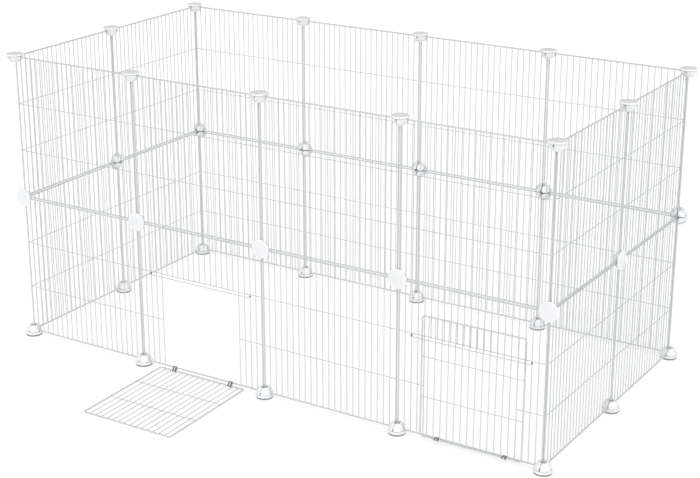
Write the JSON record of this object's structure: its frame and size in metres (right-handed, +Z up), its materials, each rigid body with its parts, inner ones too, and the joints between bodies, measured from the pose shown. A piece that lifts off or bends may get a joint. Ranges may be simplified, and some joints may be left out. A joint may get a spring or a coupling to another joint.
{
  "type": "pet playpen",
  "caption": "Modular two-tier wire playpen on round push-in connectors, with two drop-down wire doors and swinging latch bars.",
  "frame": {"origin": "bottom centre of the whole object's box, with the left door lowered as a ramp and the right door shut", "axes": "+Z up; +X along the long front wall, towards the viewer's right; the front wall with both doorways faces -Y"},
  "size_m": [1.4444, 1.0036, 0.7156],
  "materials": {
    "white_steel": "white powder coat, slightly glossy",
    "white_plastic": "moulded white plastic, satin to glossy",
    "pad_rubber": "grey soft rubber, matt",
    "dark_steel": "dark zinc-plated strip"
  },
  "bodies": {
    "pen": {"panel_front_lower_1": "white_steel", "panel_front_upper_1": "white_steel", "panel_front_lower_2": "white_steel", "panel_front_upper_2": "white_steel", "panel_front_lower_3": "white_steel", "panel_front_upper_3": "white_steel", "panel_front_lower_4": "white_steel", "panel_front_upper_4": "white_steel", "panel_back_lower_1": "white_steel", "panel_back_upper_1": "white_steel", "panel_back_lower_2": "white_steel", "panel_back_upper_2": "white_steel", "panel_back_lower_3": "white_steel", "panel_back_upper_3": "white_steel", "panel_back_lower_4": "white_steel", "panel_back_upper_4": "white_steel", "panel_left_lower_1": "white_steel", "panel_left_upper_1": "white_steel", "panel_left_lower_2": "white_steel", "panel_left_upper_2": "white_steel", "panel_right_lower_1": "white_steel", "panel_right_upper_1": "white_steel", "panel_right_lower_2": "white_steel", "panel_right_upper_2": "white_steel", "foot_front_1": "white_plastic", "foot_front_2": "white_plastic", "foot_front_3": "white_plastic", "foot_front_4": "white_plastic", "foot_front_5": "white_plastic", "foot_back_1": "white_plastic", "foot_back_2": "white_plastic", "foot_back_3": "white_plastic", "foot_back_4": "white_plastic", "foot_back_5": "white_plastic", "foot_left": "white_plastic", "foot_right": "white_plastic", "mid_connector_front_1": "white_plastic", "mid_connector_front_2": "white_plastic", "mid_connector_front_3": "white_plastic", "mid_connector_front_4": "white_plastic", "mid_connector_front_5": "white_plastic", "mid_connector_back_1": "white_plastic", "mid_connector_back_2": "white_plastic", "mid_connector_back_3": "white_plastic", "mid_connector_back_4": "white_plastic", "mid_connector_back_5": "white_plastic", "mid_connector_left": "white_plastic", "mid_connector_right": "white_plastic", "top_connector_front_1": "white_plastic", "top_connector_front_5": "white_plastic", "top_connector_back_1": "white_plastic", "top_connector_back_5": "white_plastic", "hinge_clip_left_a": "dark_steel", "hinge_clip_left_b": "dark_steel", "hinge_clip_right_a": "dark_steel", "hinge_clip_right_b": "dark_steel"},
    "door_left": {"door_left": "white_steel"},
    "door_right": {"door_right": "white_steel"},
    "latch_left": {"latch_left": "white_steel"},
    "latch_right": {"latch_right": "white_steel"}
  },
  "joints": [
    {"name": "door_left_hinge", "type": "hinge", "parent": "pen", "child": "door_left", "pos_m": [-0.175, -0.22306, 0.00641], "axis": [-1, 0, 0], "range_deg": [0, 90.9]},
    {"name": "door_right_hinge", "type": "hinge", "parent": "pen", "child": "door_right", "pos_m": [0.533, -0.22647, 0.01397], "axis": [-1, 0, 0], "range_deg": [-93.17, 0]},
    {"name": "latch_left_pivot", "type": "hinge", "parent": "pen", "child": "latch_left", "pos_m": [-0.31597, -0.21943, 0.23953], "axis": [0, 0, -1], "range_deg": [0, 100]},
    {"name": "latch_right_pivot", "type": "hinge", "parent": "pen", "child": "latch_right", "pos_m": [0.38403, -0.21943, 0.23953], "axis": [0, 0, -1], "range_deg": [0, 100]}
  ]
}
